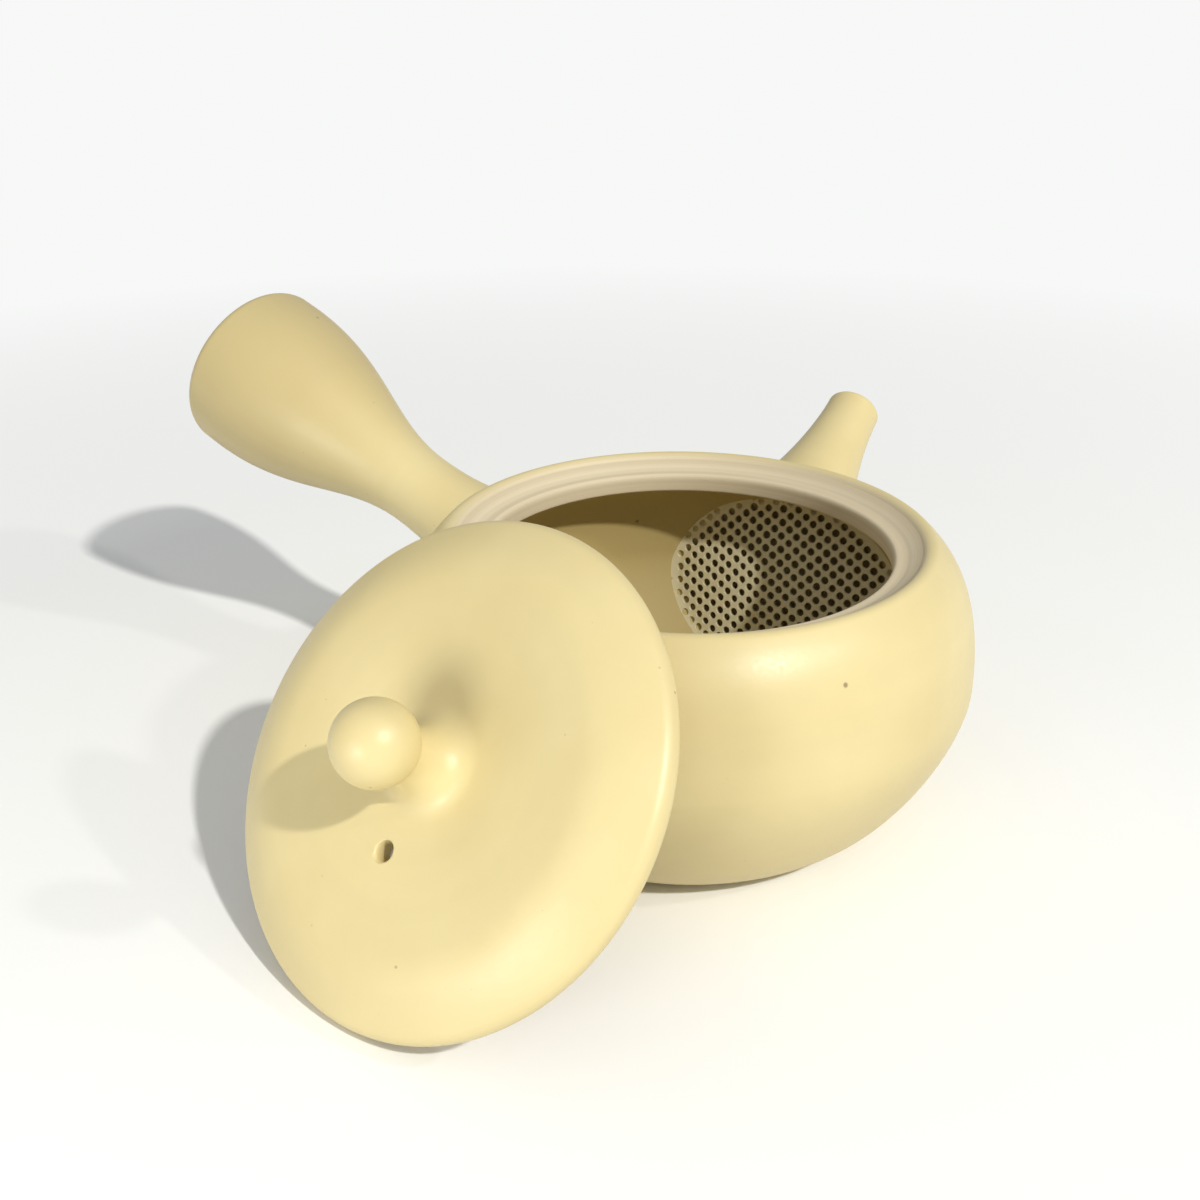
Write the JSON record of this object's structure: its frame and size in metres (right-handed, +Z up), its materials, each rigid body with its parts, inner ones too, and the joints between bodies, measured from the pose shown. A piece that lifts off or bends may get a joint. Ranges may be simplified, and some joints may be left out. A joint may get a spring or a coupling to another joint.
{
  "type": "side-handled teapot",
  "caption": "Small unglazed clay teapot with a hollow side handle, a short spout behind a domed pierced strainer, and its round lid taken off and leaned against the bowl.",
  "frame": {"origin": "centre of the bowl's flat foot, on the surface that the teapot stands on", "axes": "+Z up, +X the way that the spout points seen from above, the handle leaves towards +Y"},
  "size_m": [0.1534, 0.1555, 0.0705],
  "materials": {
    "clay": "unglazed, satin, finely burnished cream clay",
    "strainer_clay": "unglazed, matt, less burnished cream clay"
  },
  "bodies": {
    "pot": {"bowl": "clay", "spout": "clay", "handle": "clay", "strainer": "strainer_clay"},
    "lid": {"lid": "clay", "knob": "clay"}
  },
  "joints": [
    {"name": "lid_lift", "type": "slide", "parent": "pot", "child": "lid", "axis": [0, 0, 1], "range_m": [0, 0.09]}
  ]
}
